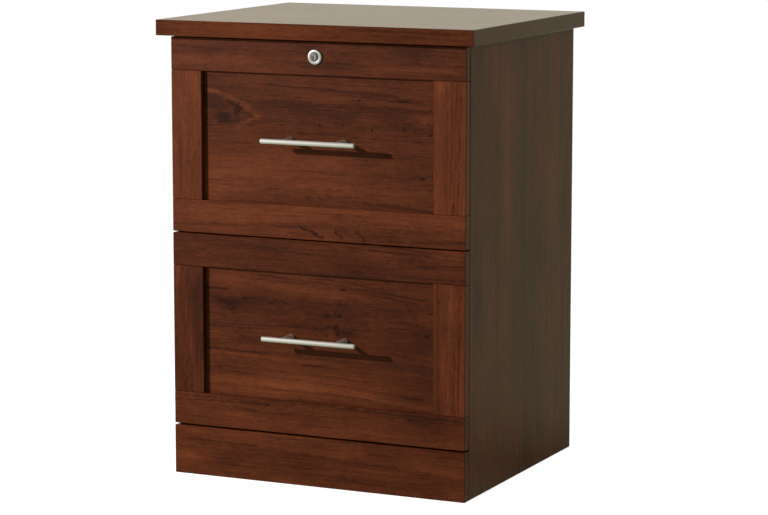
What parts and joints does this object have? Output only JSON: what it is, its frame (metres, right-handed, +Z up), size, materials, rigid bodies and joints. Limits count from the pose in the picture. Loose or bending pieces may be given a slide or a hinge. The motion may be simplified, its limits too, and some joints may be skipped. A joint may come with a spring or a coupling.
{
  "type": "vertical filing cabinet",
  "caption": "Upright wood-grain filing cabinet with stacked file drawers on telescopic slides, recessed-panel fronts, bar pulls, an overhanging top and a cam lock in the upper drawer.",
  "frame": {"origin": "on the floor, under the middle of the whole object's box", "axes": "+Z up; the drawer fronts face -Y and open along -Y; +X is to the right as seen from the front"},
  "size_m": [0.5586, 0.4914, 0.749],
  "materials": {
    "cherry_laminate": "dark cherry wood grain, satin",
    "drawer_box_board": "dark cherry wood grain, matt",
    "hardboard": "brown hardboard, matt",
    "satin_steel": "satin nickel",
    "zinc_steel": "bright zinc",
    "lock_metal": "satin chrome"
  },
  "bodies": {
    "cabinet": {"top_panel": "cherry_laminate", "side_panel_left": "cherry_laminate", "side_panel_right": "cherry_laminate", "bottom_panel": "cherry_laminate", "kick_panel": "cherry_laminate", "rear_base_rail": "cherry_laminate", "divider_rail": "cherry_laminate", "lock_rail": "cherry_laminate", "back_panel": "hardboard", "upper_slide_cabinet_member_left": "zinc_steel", "upper_slide_cabinet_member_right": "zinc_steel", "lower_slide_cabinet_member_left": "zinc_steel", "lower_slide_cabinet_member_right": "zinc_steel"},
    "upper_drawer": {"upper_front_top_rail": "cherry_laminate", "upper_front_bottom_rail": "cherry_laminate", "upper_front_left_stile": "cherry_laminate", "upper_front_right_stile": "cherry_laminate", "upper_front_field_panel": "cherry_laminate", "upper_box_left_side": "drawer_box_board", "upper_box_right_side": "drawer_box_board", "upper_box_front": "drawer_box_board", "upper_box_back": "drawer_box_board", "upper_box_bottom": "hardboard", "upper_file_bar_left": "zinc_steel", "upper_file_bar_right": "zinc_steel", "upper_pull_bar": "satin_steel", "upper_pull_post_left": "satin_steel", "upper_pull_post_right": "satin_steel", "upper_pull_screw_left": "zinc_steel", "upper_pull_screw_right": "zinc_steel", "upper_slide_drawer_member_left": "zinc_steel", "upper_slide_drawer_member_right": "zinc_steel", "lock_housing": "lock_metal", "lock_nut": "zinc_steel"},
    "upper_slide_middle": {"upper_slide_middle_member_left": "zinc_steel", "upper_slide_middle_member_right": "zinc_steel"},
    "lower_drawer": {"lower_front_top_rail": "cherry_laminate", "lower_front_bottom_rail": "cherry_laminate", "lower_front_left_stile": "cherry_laminate", "lower_front_right_stile": "cherry_laminate", "lower_front_field_panel": "cherry_laminate", "lower_box_left_side": "drawer_box_board", "lower_box_right_side": "drawer_box_board", "lower_box_front": "drawer_box_board", "lower_box_back": "drawer_box_board", "lower_box_bottom": "hardboard", "lower_file_bar_left": "zinc_steel", "lower_file_bar_right": "zinc_steel", "lower_pull_bar": "satin_steel", "lower_pull_post_left": "satin_steel", "lower_pull_post_right": "satin_steel", "lower_pull_screw_left": "zinc_steel", "lower_pull_screw_right": "zinc_steel", "lower_slide_drawer_member_left": "zinc_steel", "lower_slide_drawer_member_right": "zinc_steel"},
    "lower_slide_middle": {"lower_slide_middle_member_left": "zinc_steel", "lower_slide_middle_member_right": "zinc_steel"},
    "lock_plug": {"lock_plug": "lock_metal", "lock_cam": "zinc_steel", "lock_cam_screw": "zinc_steel"}
  },
  "joints": [
    {"name": "upper_drawer_slide", "type": "slide", "parent": "cabinet", "child": "upper_drawer", "axis": [0, -1, 0], "range_m": [0, 0.4]},
    {"name": "upper_middle_slide", "type": "slide", "parent": "cabinet", "child": "upper_slide_middle", "axis": [0, -1, 0], "range_m": [0, 0.2]},
    {"name": "lower_drawer_slide", "type": "slide", "parent": "cabinet", "child": "lower_drawer", "axis": [0, -1, 0], "range_m": [0, 0.4]},
    {"name": "lower_middle_slide", "type": "slide", "parent": "cabinet", "child": "lower_slide_middle", "axis": [0, -1, 0], "range_m": [0, 0.2]},
    {"name": "lock_turn", "type": "hinge", "parent": "upper_drawer", "child": "lock_plug", "pos_m": [0, -0.21175, 0.69685], "axis": [0, 1, 0], "range_deg": [0, 90]}
  ],
  "couplings": [
    {"joint": "upper_middle_slide", "follows": "upper_drawer_slide", "ratio": 0.5},
    {"joint": "lower_middle_slide", "follows": "lower_drawer_slide", "ratio": 0.5}
  ]
}
